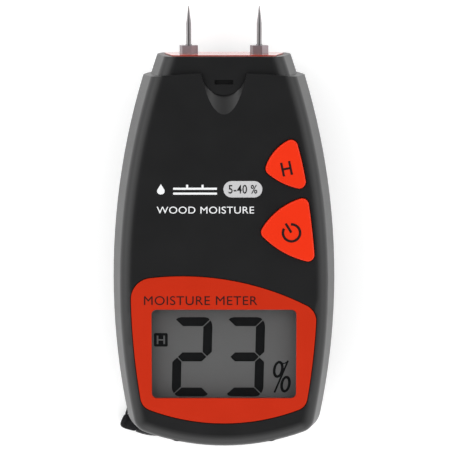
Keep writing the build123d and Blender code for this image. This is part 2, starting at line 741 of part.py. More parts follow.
# ---------------------------------------------------------------- board and what is on it
with BuildPart() as circuit_board:
    with BuildSketch(Plane.XY.offset(BOARD_UNDER_Z)) as board:
        add(casing_outline(BOARD_UNDER_Z, BOARD_INSET))
        with Locations((0, BOARD_ENDS[0])):
            Rectangle(
                CASE_WIDTH,
                BOARD_ENDS[1] - BOARD_ENDS[0],
                align=(Align.CENTER, Align.MIN),
                mode=Mode.INTERSECT,
            )
        fillet(board.vertices(), 1.5)
        with Locations(*BOARD_SCREWS):
            Circle(BOARD_SCREW_RADIUS + CLEARANCE, mode=Mode.SUBTRACT)
    extrude(board.sketch, BOARD_THICKNESS, dir=UP)
finish(circuit_board, "circuit_board")

with BuildPart() as board_screws:
    with BuildSketch(Plane.XY.offset(BOARD_UNDER_Z)):
        with Locations(*BOARD_SCREWS):
            Circle(BOARD_SCREW_RADIUS)
    extrude(amount=BOARD_THICKNESS + 3.2)
    with BuildSketch(Plane.XY.offset(BOARD_UNDER_Z)):
        with Locations(*BOARD_SCREWS):
            Circle(1.8)
    extrude(amount=-1.2)
finish(board_screws, "board_screws")


def under_board(centre, size, height):
    """A boxy component hanging under the board."""
    half = (size[0] / 2, size[1] / 2)
    return block(
        (centre[0] - half[0], centre[1] - half[1], BOARD_UNDER_Z - height),
        (centre[0] + half[0], centre[1] + half[1], BOARD_UNDER_Z),
    )


with BuildPart() as measuring_chip:
    add(under_board((-5.0, 21.0), (10.0, 4.0), 1.7))
finish(measuring_chip, "measuring_chip")

with BuildPart() as display_driver:
    with BuildSketch(Plane.XY.offset(BOARD_TOP_Z)):
        with Locations((0, DISPLAY_Y - 2)):
            Circle(6.5)
    extrude(amount=1.3)
    fillet(display_driver.faces().sort_by(Axis.Z)[-1].edges(), 1.0)
finish(display_driver, "display_driver")

with BuildPart() as calibration_trimmer:
    add(under_board((4.5, 23.5), (6.6, 6.6), 4.6))
    with BuildSketch(Plane.XY.offset(BOARD_UNDER_Z - 4.6)):
        with Locations((4.5, 23.5)):
            Circle(1.8)
    extrude(amount=-0.6)
finish(calibration_trimmer, "calibration_trimmer")

with BuildPart() as capacitor:
    with BuildSketch(Plane.XY.offset(BOARD_UNDER_Z)):
        with Locations((-20.0, 14.0)):
            Circle(2.5)
    extrude(amount=-7.0)
    fillet(capacitor.faces().sort_by(Axis.Z)[0].edges(), 0.4)
finish(capacitor, "electrolytic_capacitor")

with BuildPart() as voltage_regulator:
    add(under_board((15.0, 15.0), (4.6, 2.6), 1.6))
finish(voltage_regulator, "voltage_regulator")

with BuildPart() as crystal:
    add(under_board((-12.5, 16.0), (3.4, 8.0), 2.4))
finish(crystal, "crystal")

with BuildPart() as chip_capacitors:
    for x, y in ((-2.0, 15.5), (1.6, 15.5), (-17.5, 20.5), (12.0, 19.0), (19.5, 10.0)):
        add(under_board((x, y), (2.0, 1.25), 0.9))
finish(chip_capacitors, "chip_capacitors")

with BuildPart() as chip_resistors:
    for x, y in ((5.0, 13.0), (8.0, 13.0), (-10.0, 24.5), (-7.0, 25.5), (-3.0, 25.5), (16.0, 20.0)):
        add(under_board((x, y), (1.25, 2.0), 0.5))
finish(chip_resistors, "chip_resistors")

# ---------------------------------------------------------------- battery
battery_half = BATTERY_SIZE[0] / 2
battery_end = BATTERY_END_Y + BATTERY_SIZE[1] - 3.0
jacket_wall = 0.6
with BuildPart() as battery_jacket:
    with BuildSketch(Plane.XZ.offset(-BATTERY_END_Y)):
        with Locations((0, BATTERY_FLOOR_Z + BATTERY_SIZE[2] / 2)):
            RectangleRounded(BATTERY_SIZE[0], BATTERY_SIZE[2], 2.0)
            RectangleRounded(
                BATTERY_SIZE[0] - 2 * jacket_wall,
                BATTERY_SIZE[2] - 2 * jacket_wall,
                1.5,
                mode=Mode.SUBTRACT,
            )
    extrude(amount=-(battery_end - BATTERY_END_Y))
finish(battery_jacket, "battery_jacket")

with BuildPart() as battery_cells:
    with BuildSketch(Plane.XZ.offset(-BATTERY_END_Y - 0.2)):
        with Locations((0, BATTERY_FLOOR_Z + BATTERY_SIZE[2] / 2)):
            RectangleRounded(
                BATTERY_SIZE[0] - 2 * jacket_wall - 0.1,
                BATTERY_SIZE[2] - 2 * jacket_wall - 0.1,
                1.4,
            )
    extrude(amount=-(battery_end - BATTERY_END_Y - 0.4))
finish(battery_cells, "battery_cells")

stud_z = BATTERY_FLOOR_Z + BATTERY_SIZE[2] / 2
with BuildPart() as battery_terminals:
    with BuildSketch(Plane.XZ.offset(-battery_end + 0.2)):
        with Locations((-6.35, stud_z), (6.35, stud_z)):
            Circle(3.0)
    extrude(amount=-1.0)
    with BuildSketch(Plane.XZ.offset(-battery_end)):
        with Locations((-6.35, stud_z), (6.35, stud_z)):
            Circle(2.6)
    extrude(amount=-2.8)
finish(battery_terminals, "battery_terminals")

snap_y = battery_end + 1.0
with BuildPart() as snap_connector:
    with BuildSketch(Plane.XZ.offset(-snap_y)):
        with Locations((0, stud_z)):
            RectangleRounded(25.4, 12.0, 2.5)
        with Locations((-6.35, stud_z), (6.35, stud_z)):
            Circle(3.2, mode=Mode.SUBTRACT)
    extrude(amount=-2.4)
    with BuildSketch(Plane.XZ.offset(-snap_y - 2.4)):
        with Locations((0, stud_z)):
            RectangleRounded(25.4, 12.0, 2.5)
    extrude(amount=-2.2)
finish(snap_connector, "snap_connector")
lead_start_y = snap_y + 4.6

for name, x in (("red", -3.0), ("black", 3.0)):
    lead_points = [
        (x, lead_start_y, 9.5),
        (x, 17.6, 9.5),
        (x, 17.6, BOARD_UNDER_Z),
    ]
    with BuildPart() as lead:
        add(tube(lead_points, 3.5, LEAD_RADIUS))
    finish(lead, f"battery_lead_{name}")

# ---------------------------------------------------------------- electrodes
plate_y = HEAD_END_Y + PLATE_PROUD
with BuildPart() as electrode_block:
    extrude(plate_outline(plate_y), plate_y - BLOCK_FLANGE_ENDS[0], dir=INWARD)
    extrude(
        plate_outline(BLOCK_FLANGE_ENDS[1], BLOCK_FLANGE),
        BLOCK_FLANGE_ENDS[1] - BLOCK_FLANGE_ENDS[0],
        dir=INWARD,
    )
    with BuildSketch(Plane.XZ.offset(-plate_y)):
        with Locations((-PIN_X, PIN_Z), (PIN_X, PIN_Z)):
            Circle(BARREL_RADIUS)
    extrude(amount=plate_y - BARREL_END_Y)
    with BuildSketch(Plane.XZ.offset(-plate_y)):
        with Locations((-PIN_X, PIN_Z), (PIN_X, PIN_Z)):
            Circle(SOCKET_RADIUS + FIT)
    extrude(amount=plate_y - BARREL_END_Y, mode=Mode.SUBTRACT)
finish(electrode_block, "electrode_block")

with BuildPart() as electrode_sockets:
    with BuildSketch(Plane.XZ.offset(-plate_y)):
        with Locations((-PIN_X, PIN_Z), (PIN_X, PIN_Z)):
            Circle(SOCKET_RADIUS)
    extrude(amount=plate_y - SOCKET_END_Y)
    with BuildSketch(Plane.XZ.offset(-SOCKET_END_Y)):
        with Locations((-PIN_X, PIN_Z), (PIN_X, PIN_Z)):
            Circle(STUD_RADIUS)
    extrude(amount=SOCKET_END_Y - STUD_END_Y)
    with BuildSketch(Plane.XZ.offset(-plate_y)):
        with Locations((-PIN_X, PIN_Z), (PIN_X, PIN_Z)):
            Circle(NEEDLE_ROOT_RADIUS + FIT)
    extrude(amount=plate_y - NEEDLE_ROOT_Y + 0.3, mode=Mode.SUBTRACT)
finish(electrode_sockets, "electrode_sockets")

tag_y = SOCKET_END_Y - 0.6
with BuildPart() as solder_tags:
    with BuildSketch(Plane.XZ.offset(-SOCKET_END_Y)):
        for x in (-PIN_X, PIN_X):
            with Locations((x, PIN_Z)):
                Circle(2.9)
            with Locations((x, PIN_Z - 3.4)):
                Rectangle(1.8, 3.6)
        with Locations((-PIN_X, PIN_Z), (PIN_X, PIN_Z)):
            Circle(STUD_RADIUS + FIT, mode=Mode.SUBTRACT)
    extrude(amount=0.6)
finish(solder_tags, "solder_tags")

with BuildPart() as terminal_nuts:
    with BuildSketch(Plane.XZ.offset(-tag_y)):
        with Locations((-PIN_X, PIN_Z), (PIN_X, PIN_Z)):
            RegularPolygon(2.75, 6, major_radius=False)
            Circle(STUD_RADIUS + FIT, mode=Mode.SUBTRACT)
    extrude(amount=2.2)
finish(terminal_nuts, "terminal_nuts")

shoulder_y = plate_y + COLLAR_HEIGHT + NEEDLE_SHOULDER
for name, x in (("left", -PIN_X), ("right", PIN_X)):
    with BuildPart() as needle:
        with BuildSketch(Plane.XZ.offset(-NEEDLE_ROOT_Y)):
            with Locations((x, PIN_Z)):
                Circle(NEEDLE_ROOT_RADIUS)
        extrude(amount=-(shoulder_y - NEEDLE_ROOT_Y))
        with BuildSketch(Plane.XZ.offset(-shoulder_y)):
            with Locations((x, PIN_Z)):
                Circle(NEEDLE_RADIUS)
        extrude(amount=-(NEEDLE_CONE_Y - shoulder_y))
        with BuildSketch(Plane.XZ.offset(-NEEDLE_CONE_Y)):
            with Locations((x, PIN_Z)):
                Circle(NEEDLE_RADIUS)
        with BuildSketch(Plane.XZ.offset(-NEEDLE_TIP_Y)):
            with Locations((x, PIN_Z)):
                Circle(NEEDLE_TIP_RADIUS)
        loft()
    finish(needle, f"{name}_needle")

    with BuildPart() as collar:
        with BuildSketch(Plane.XZ.offset(-plate_y)):
            with Locations((x, PIN_Z)):
                RegularPolygon(COLLAR_FLATS / 2, 6, major_radius=False, rotation=COLLAR_TURN)
                Circle(NEEDLE_ROOT_RADIUS + FIT, mode=Mode.SUBTRACT)
        extrude(amount=-COLLAR_HEIGHT)
    finish(collar, f"{name}_collar")

    lead_points = [
        (x, tag_y, PIN_Z - 4.4),
        (x, 27.2, PIN_Z - 4.4),
        (x, 27.2, BOARD_UNDER_Z),
    ]
    with BuildPart() as lead:
        add(tube(lead_points, 3.0, LEAD_RADIUS))
    finish(lead, f"electrode_lead_{name}")

# ---------------------------------------------------------------- wrist strap
string_radii = corner_radii(STRING_ROUTE)
string_radii[3] = STRING_LOOP - 0.01
string_radii[4] = STRING_LOOP - 0.01
with BuildPart() as strap_string:
    add(tube(STRING_ROUTE, string_radii, STRING_RADIUS))
finish(strap_string, "strap_string")

sleeve_start = Vector(*SLEEVE_ENDS[0], SLEEVE_SIZE[1] / 2 + FLOOR_GAP)
sleeve_end = Vector(*SLEEVE_ENDS[1], SLEEVE_SIZE[1] / 2 + FLOOR_GAP)
sleeve_run = sleeve_end - sleeve_start
sleeve_plane = Plane(origin=sleeve_start, x_dir=sleeve_run.cross(Vector(*UP)), z_dir=sleeve_run)
with BuildPart() as strap_sleeve:
    with BuildSketch(sleeve_plane):
        RectangleRounded(*SLEEVE_SIZE, SLEEVE_CORNER)
    extrude(amount=sleeve_run.length)
finish(strap_sleeve, "strap_sleeve")

cord_points = [(x, y, CORD_RADIUS + FLOOR_GAP) for x, y in CORD_ROUTE]
cord_bends = corner_radii(cord_points)
with BuildPart() as strap_cord:
    add(tube(cord_points, cord_bends, CORD_RADIUS))
finish(strap_cord, "strap_cord")

for label, piece, bends, radius in (
    ("string", strap_string, string_radii, STRING_RADIUS),
    ("cord", strap_cord, cord_bends, CORD_RADIUS),
):
    length = piece.part.volume / (pi * radius**2)
    print(label, "radii", [round(bend, 1) for bend in bends], "length", round(length, 1))
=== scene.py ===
"""Finishes, printing, display digits, strap and stage for a pin moisture meter, built round its frame."""

import math

import bmesh
import bpy
from bpy.props import FloatProperty, FloatVectorProperty, PointerProperty, StringProperty
from mathutils import Matrix, Vector


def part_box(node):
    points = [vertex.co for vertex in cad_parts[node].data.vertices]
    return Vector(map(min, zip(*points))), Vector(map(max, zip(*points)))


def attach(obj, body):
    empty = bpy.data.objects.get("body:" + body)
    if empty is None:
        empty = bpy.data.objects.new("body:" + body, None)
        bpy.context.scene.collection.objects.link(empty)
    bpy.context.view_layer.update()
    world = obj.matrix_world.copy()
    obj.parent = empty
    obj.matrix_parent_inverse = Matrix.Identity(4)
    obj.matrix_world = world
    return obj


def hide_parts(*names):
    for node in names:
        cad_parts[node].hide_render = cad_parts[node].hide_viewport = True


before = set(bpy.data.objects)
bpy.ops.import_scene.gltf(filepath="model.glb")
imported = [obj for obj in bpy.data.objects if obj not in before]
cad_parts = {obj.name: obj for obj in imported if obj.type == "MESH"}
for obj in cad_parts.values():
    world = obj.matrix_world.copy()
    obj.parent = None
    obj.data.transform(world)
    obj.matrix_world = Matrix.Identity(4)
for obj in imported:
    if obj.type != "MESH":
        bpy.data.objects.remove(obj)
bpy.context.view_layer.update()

bl_info = {
    "name": "Moisture meter",
    "version": (1, 0, 0),
    "blender": (4, 5, 0),
    "location": "3D View > Sidebar > Meter",
    "description": "Finishes, printing, display digits, strap and stage for a pin moisture meter",
    "category": "Object",
}

MM = 0.001
WHITE = (1.0, 1.0, 1.0)
BLACK = (0.0, 0.0, 0.0)
METER = "meter"

FACE_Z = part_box("bezel_panel")[1].z
GLASS_TOP_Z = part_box("display_polariser")[1].z
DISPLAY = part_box("display_polariser")
INK = 0.03 * MM
ACRYLIC_IOR = 1.49


# Shader building


class Tone:
    """A node's output socket. Arithmetic on it adds Math nodes."""

    def __init__(self, finish, socket):
        self.finish = finish
        self.socket = socket

    def math(self, operation, first, second=0.0):
        return self.finish.node("ShaderNodeMath", {"operation": operation}, {0: first, 1: second})

    def __add__(self, other):
        return self.math("ADD", self, other)

    def __sub__(self, other):
        return self.math("SUBTRACT", self, other)

    def __rsub__(self, other):
        return self.math("SUBTRACT", other, self)

    def __mul__(self, other):
        return self.math("MULTIPLY", self, other)

    def __truediv__(self, other):
        return self.math("DIVIDE", self, other)

    def __rtruediv__(self, other):
        return self.math("DIVIDE", other, self)

    __radd__ = __add__
    __rmul__ = __mul__

    def sine(self):
        return self.math("SINE", self)


class Finish:
    """A procedural material, or the room, while its nodes are being laid."""

    def __init__(self, name, kind="materials"):
        self.made = getattr(bpy.data, kind).new(name)
        self.made.use_nodes = True
        self.tree = self.made.node_tree
        self.tree.nodes.clear()

    def node(self, kind, settings=None, sockets=None, output=0):
        made = self.tree.nodes.new(kind)
        for key, value in (settings or {}).items():
            if key == "stops":
                stops = made.color_ramp.elements
                for index, (place, colour) in enumerate(value):
                    stop = stops[index] if index < len(stops) else stops.new(place)
                    stop.position = place
                    stop.color = (*colour, 1.0)
            else:
                setattr(made, key, value)
        for key, value in (sockets or {}).items():
            if isinstance(value, Tone):
                self.tree.links.new(value.socket, made.inputs[key])
            else:
                made.inputs[key].default_value = value
        return Tone(self, made.outputs[output]) if made.outputs else None

    def place(self, stretch=(1.0, 1.0, 1.0), turn=0.0, source="Object"):
        point = self.node("ShaderNodeTexCoord", output=source)
        sockets = {"Vector": point, "Scale": stretch, "Rotation": (0.0, 0.0, turn)}
        return self.node("ShaderNodeMapping", None, sockets)

    def axes(self, vector):
        split = self.node("ShaderNodeSeparateXYZ", None, {0: vector}).socket.node
        return [Tone(self, socket) for socket in split.outputs]

    def noise(self, size, detail=2.0, stretch=(1.0, 1.0, 1.0)):
        sockets = {"Vector": self.place(stretch), "Scale": 1.0 / size, "Detail": detail}
        return self.node("ShaderNodeTexNoise", None, sockets)

    def mix(self, factor, first, second):
        first, second = ((*c, 1.0) if isinstance(c, tuple) and len(c) == 3 else c for c in (first, second))
        return self.node("ShaderNodeMix", {"data_type": "RGBA"}, {0: factor, 6: first, 7: second}, 2)

    def bump(self, height, depth, strength=1.0):
        sockets = {"Height": height, "Distance": depth, "Strength": strength}
        return self.node("ShaderNodeBump", None, sockets)

    def surface(self, **sockets):
        named = {key.replace("_", " "): value for key, value in sockets.items()}
        for key in ("Base Color", "Emission Color"):
            if isinstance(named.get(key), tuple):
                named[key] = (*named[key][:3], 1.0)
        shader = self.node("ShaderNodeBsdfPrincipled", None, named)
        self.node("ShaderNodeOutputMaterial", None, {"Surface": shader})
        return self.made


def shade(colour, factor):
    return tuple(min(1.0, part * factor) for part in colour)


def moulded(
    name, colour, roughness, grain=0.22 * MM, depth=0.012 * MM, mottle=0.12, coat=0.0, gloss=0.5
):
    """Moulded plastic: a fine spark texture, faint flow marks and uneven gloss."""
    finish = Finish(name)
    flow = finish.noise(9.0 * MM, 3.0)
    spark = finish.noise(grain, 2.0)
    colours = finish.mix(flow, shade(colour, 1.0 - mottle), shade(colour, 1.0 + mottle))
    sheen = roughness - 0.05 + flow * 0.06 + spark * 0.04
    return finish.surface(
        Base_Color=colours, Roughness=sheen, Specular_IOR_Level=gloss,
        Coat_Weight=coat, Coat_Roughness=0.15, Normal=finish.bump(spark, depth),
    )


def plated(name, colour, roughness, brushing=(1.0, 1.0, 1.0), depth=0.004 * MM):
    """Plated or turned metal: fine tool marks that run along one axis."""
    finish = Finish(name)
    marks = finish.noise(0.16 * MM, 3.0, brushing)
    cloud = finish.noise(2.5 * MM, 2.0)
    colours = finish.mix(cloud, shade(colour, 0.86), shade(colour, 1.06))
    return finish.surface(
        Base_Color=colours, Metallic=1.0, Roughness=roughness + marks * 0.10 + cloud * 0.05,
        Normal=finish.bump(marks, depth),
    )


def clear(name, colour, alpha, roughness):
    """Clear or tinted sheet: a thin see-through skin with a faint polish haze."""
    finish = Finish(name)
    haze = finish.noise(4.0 * MM, 2.0)
    gloss = roughness + haze * 0.04
    return finish.surface(Base_Color=colour, Alpha=alpha, Roughness=gloss, IOR=ACRYLIC_IOR)


def ink(name, colour, roughness=0.5, gloss=0.2):
    """Pad-printed ink: slightly uneven, with a soft tooth."""
    finish = Finish(name)
    tooth = finish.noise(0.12 * MM, 2.0)
    colours = finish.mix(tooth, shade(colour, 0.88), colour)
    return finish.surface(
        Base_Color=colours, Roughness=roughness, Specular_IOR_Level=gloss,
        Normal=finish.bump(tooth, 0.003 * MM),
    )


def board_mask(name, colour, copper):
    """Solder mask over copper tracks on a glass-fibre board."""
    finish = Finish(name)
    cells = finish.node(
        "ShaderNodeTexBrick", {"offset": 0.5, "squash": 1.0},
        {"Vector": finish.place(turn=math.radians(45)), "Scale": 260.0, "Mortar Size": 0.018,
         "Color1": (*BLACK, 1.0), "Color2": (*BLACK, 1.0), "Mortar": (*WHITE, 1.0)},
    )
    weave = finish.noise(0.5 * MM, 2.0)
    colours = finish.mix(cells * 0.5, finish.mix(weave, shade(colour, 0.8), colour), copper)
    return finish.surface(
        Base_Color=colours, Roughness=0.32 + weave * 0.12,
        Normal=finish.bump(cells + weave * 0.2, 0.03 * MM),
    )


def braided(name, colour, turns, strands, depth):
    """A braid that follows the cord's own map: turns along it, strands round it."""
    finish = Finish(name)
    along, around, _ = finish.axes(finish.place(source="UV"))
    right = (along * turns + around * strands) * math.tau
    left = (along * turns - around * strands) * math.tau
    lay_relief_and_light = (right.sine() * 0.5 + 0.5) * (left.sine() * 0.5 + 0.5)
    fuzz_relief_and_highlight = finish.noise(0.18 * MM, 3.0)
    # Painted highlight and shade: the raised crowns of the strands are drawn lighter and the grooves between
    # them darker, and the loose fuzz is drawn as lighter grey highlight on the black yarn.
    colours = finish.mix(lay_relief_and_light, shade(colour, 0.45), shade(colour, 1.5))
    return finish.surface(
        Base_Color=finish.mix(fuzz_relief_and_highlight * 0.4, colours, shade(colour, 2.6)),
        Roughness=0.85, Sheen_Weight=0.25,
        Normal=finish.bump(lay_relief_and_light + fuzz_relief_and_highlight * 0.5, depth),
    )


def woven(name, colour, cell, depth):
    """A coarse weave with loose fibres; its colour is painted lighter on the raised knots and fibres as
    painted highlight and darker between the knots as painted shade.
    """
    finish = Finish(name)
    knot_relief_and_light = finish.node("ShaderNodeTexVoronoi", None, {"Vector": finish.place(), "Scale": 1.0 / cell})
    fuzz_relief_and_highlight = finish.noise(cell * 0.3, 3.0)
    # Painted highlight and shade: knot centres and loose fuzz are drawn lighter, and the hollows between the
    # knots darker.
    colours = finish.mix(knot_relief_and_light, shade(colour, 1.6), shade(colour, 0.4))
    return finish.surface(
        Base_Color=finish.mix(fuzz_relief_and_highlight * 0.3, colours, shade(colour, 3.0)),
        Roughness=0.9, Specular_IOR_Level=0.2,
        Normal=finish.bump(fuzz_relief_and_highlight * 0.6 - knot_relief_and_light, depth),
    )


# Mesh building


def keep(name, mesh, material, body):
    """Makes a piece from a bmesh or a mesh, dresses it and lets it ride."""
    if isinstance(mesh, bmesh.types.BMesh):
        bmesh.ops.recalc_face_normals(mesh, faces=mesh.faces[:])
        data = bpy.data.meshes.new(name)
        mesh.to_mesh(data)
        mesh.free()
    else:
        data = mesh
        data.name = name
    data.materials.clear()
    data.materials.append(material)
    piece = bpy.data.objects.new(name, data)
    bpy.context.scene.collection.objects.link(piece)
    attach(piece, body)
    return piece


def add_outline(mesh, outline, base_z, thickness):
    """Adds a flat plate with this outline, in millimetres, whose foot is at base_z."""
    corners = [mesh.verts.new((x * MM, y * MM, base_z)) for x, y in outline]
    foot = mesh.faces.new(corners)
    top = bmesh.ops.extrude_face_region(mesh, geom=[foot], use_keep_orig=True)["geom"]
    risen = [part for part in top if isinstance(part, bmesh.types.BMVert)]
    bmesh.ops.translate(mesh, verts=risen, vec=(0.0, 0.0, thickness))


def ring_outline(centre, radii, start, end, width, steps=40):
    """An open band round part of an ellipse, as one outline."""
    turns = [start + (end - start) * index / steps for index in range(steps + 1)]

    def edge(reach):
        wide, high = (radius + reach for radius in radii)
        return [(centre[0] + wide * math.cos(turn), centre[1] + high * math.sin(turn)) for turn in turns]

    return edge(width / 2) + edge(-width / 2)[::-1]


def bar_outline(start, end, width):
    """A straight stroke between two points."""
    run = Vector(end) - Vector(start)
    side = Vector((-run.y, run.x)).normalized() * (width / 2)
    first, last = Vector(start), Vector(end)
    return [tuple(first - side), tuple(last - side), tuple(last + side), tuple(first + side)]


def moved(outlines, centre, turn=0.0, lean=0.0):
    """The same outlines leant, turned and placed."""
    cosine, sine = math.cos(turn), math.sin(turn)
    placed = []
    for outline in outlines:
        leant = [(x + lean * y, y) for x, y in outline]
        turned = [(x * cosine - y * sine, x * sine + y * cosine) for x, y in leant]
        placed.append([(centre[0] + x, centre[1] + y) for x, y in turned])
    return placed


def plates(name, outlines, base_z, thickness, material, body):
    mesh = bmesh.new()
    for outline in outlines:
        add_outline(mesh, outline, base_z, thickness)
    return keep(name, mesh, material, body)


def lettering(name, words, centre, size, base_z, material, body, slot, turn=0.0, lean=0.0, bold=0.0):
    """Flat raised lettering that fills a box of this size, in millimetres, round its centre."""
    curve = bpy.data.curves.new(name, "FONT")
    curve.body = words
    curve.extrude = 0.01
    curve.offset = bold
    curve.shear = lean
    curve.space_character = 1.06
    writer = bpy.data.objects.new(name + "_writer", curve)
    bpy.context.scene.collection.objects.link(writer)
    bpy.context.view_layer.update()
    mesh = bpy.data.meshes.new_from_object(writer.evaluated_get(bpy.context.evaluated_depsgraph_get()))
    bpy.data.objects.remove(writer)
    low = Vector(map(min, zip(*(v.co for v in mesh.vertices))))
    high = Vector(map(max, zip(*(v.co for v in mesh.vertices))))
    middle = (low + high) / 2
    span = high - low
    mesh.transform(Matrix.Translation(-middle))
    mesh.transform(Matrix.Diagonal((size[0] * MM / span.x, size[1] * MM / span.y, INK / span.z, 1.0)))
    mesh.transform(Matrix.Rotation(turn, 4, "Z"))
    mesh.transform(Matrix.Translation((centre[0] * MM, centre[1] * MM, base_z + INK / 2)))
    return keep(name, mesh, material, body)


def dress(material, *nodes):
    """Gives CAD nodes a finish."""
    for name in nodes:
        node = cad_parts[name]
        node.data.materials.clear()
        node.data.materials.append(material)


def run_curve(name, points, diameter, material, sides=6):
    """A cord along a smooth NURBS line with these control points."""
    curve = bpy.data.curves.new(name, "CURVE")
    curve.dimensions = "3D"
    curve.bevel_depth = diameter / 2
    curve.bevel_resolution = sides
    curve.use_fill_caps = True
    curve.resolution_u = 8
    spline = curve.splines.new("NURBS")
    spline.points.add(len(points) - 1)
    for point, place in zip(spline.points, points):
        point.co = (*(part * MM for part in place), 1.0)
    spline.order_u = 3
    spline.use_endpoint_u = True
    curve.materials.append(material)
    piece = bpy.data.objects.new(name, curve)
    bpy.context.scene.collection.objects.link(piece)
    return piece


# Settings


class MeterCasing(bpy.types.PropertyGroup):
    colour: FloatVectorProperty(
        name="Casing", description="Casing plastic", subtype="COLOR", default=(0.0085, 0.0086, 0.009)
    )
    roughness: FloatProperty(
        name="Casing roughness", description="Sheen of the casing", default=0.36, subtype="FACTOR"
    )
    grain: FloatProperty(
        name="Grain", description="Size of the moulded texture", default=0.00022, unit="LENGTH",
        precision=6,
    )
    panel: FloatVectorProperty(
        name="Panel", description="Display panel", subtype="COLOR", default=(0.46, 0.019, 0.002)
    )
    plate: FloatVectorProperty(
        name="Head plate", description="Plate that carries the needles", subtype="COLOR",
        default=(0.44, 0.040, 0.016),
    )
    button: FloatVectorProperty(
        name="Buttons", description="Push buttons", subtype="COLOR", default=(0.72, 0.024, 0.001)
    )


class MeterPrinting(bpy.types.PropertyGroup):
    light: FloatVectorProperty(
        name="Light ink", description="Ink on the casing", subtype="COLOR", default=(0.80, 0.81, 0.82)
    )
    grey: FloatVectorProperty(
        name="Grey ink", description="Ink of the capsule", subtype="COLOR", default=(0.52, 0.52, 0.53)
    )
    dark: FloatVectorProperty(
        name="Dark ink", description="Ink on the panel and buttons", subtype="COLOR",
        default=(0.014, 0.004, 0.004),
    )


class MeterDisplay(bpy.types.PropertyGroup):
    reading: StringProperty(name="Reading", description="Digits that the display shows", default="23")
    digit_width: FloatProperty(
        name="Digit width", description="Width of a digit", default=0.0114, unit="LENGTH", precision=5
    )
    digit_height: FloatProperty(
        name="Digit height", description="Height of a digit", default=0.0235, unit="LENGTH",
        precision=5,
    )
    stroke: FloatProperty(
        name="Stroke", description="Width of a segment", default=0.00265, unit="LENGTH", precision=5
    )
    slant: FloatProperty(name="Slant", description="Lean of the digits", default=0.025, subtype="FACTOR")
    field: FloatVectorProperty(
        name="Field", description="Display background", subtype="COLOR", default=(0.118, 0.118, 0.118)
    )
    segment: FloatVectorProperty(
        name="Segment", description="Dark segments", subtype="COLOR", default=(0.003, 0.003, 0.003)
    )


class MeterStrap(bpy.types.PropertyGroup):
    cord_diameter: FloatProperty(
        name="Cord", description="Diameter of the wrist cord", default=0.002, unit="LENGTH",
        precision=5,
    )
    string_diameter: FloatProperty(
        name="String", description="Diameter of the thin string", default=0.0008, unit="LENGTH",
        precision=5,
    )
    cord_length: FloatProperty(
        name="Cord length", description="Real length of the wrist cord", default=0.345, unit="LENGTH",
        precision=4,
    )
    string_length: FloatProperty(
        name="String length", description="Real length of the string", default=0.0305, unit="LENGTH",
        precision=4,
    )
    colour: FloatVectorProperty(
        name="Strap", description="Strap yarn", subtype="COLOR", default=(0.008, 0.008, 0.009)
    )


class MeterStage(bpy.types.PropertyGroup):
    distance: FloatProperty(
        name="Camera distance", description="Camera to the meter", default=0.59993, unit="LENGTH"
    )
    tilt: FloatProperty(
        name="Camera tilt", description="Lean of the camera towards the needles",
        default=math.radians(8.5), subtype="ANGLE",
    )
    lens: FloatProperty(name="Lens", description="Focal length in millimetres", default=159.66)
    floor: FloatVectorProperty(
        name="Floor", description="Floor colour", subtype="COLOR", default=(0.86, 0.86, 0.86)
    )
    glow: FloatProperty(
        name="Floor glow", description="Light that comes through the pale floor", default=0.35
    )
    sky: FloatProperty(name="Room light", description="Strength of the pale room", default=1.65)


# Operators


class MeterPiece:
    """What every operator here shares."""

    bl_options = {"REGISTER", "UNDO"}


class METER_OT_casing(MeterPiece, bpy.types.Operator):
    """Black moulded shells, the door, the panel, the head plate and the buttons"""

    bl_idname = "meter.casing"
    bl_label = "Casing"

    def execute(self, context):
        look = context.scene.meter_casing
        black = tuple(look.colour)
        shell = moulded("casing_plastic", black, look.roughness, look.grain, 0.010 * MM, gloss=0.35)
        coarse = look.grain * 1.3
        door = moulded("door_plastic", black, look.roughness + 0.05, coarse, 0.014 * MM, gloss=0.35)
        panel = moulded("panel_plastic", tuple(look.panel), 0.42, 0.30 * MM, 0.004 * MM, 0.05, 0.0, 0.2)
        plate = moulded("head_plate_plastic", tuple(look.plate), 0.16, 0.40 * MM, 0.002 * MM, 0.03, 0.6)
        button = moulded("button_rubber", tuple(look.button), 0.48, 0.18 * MM, 0.006 * MM, 0.04, 0.0, 0.2)
        dress(shell, "front_shell", "rear_shell")
        dress(door, "battery_door")
        dress(panel, "bezel_panel")
        dress(plate, "electrode_block")
        dress(button, "hold_button", "power_button")
        return {"FINISHED"}


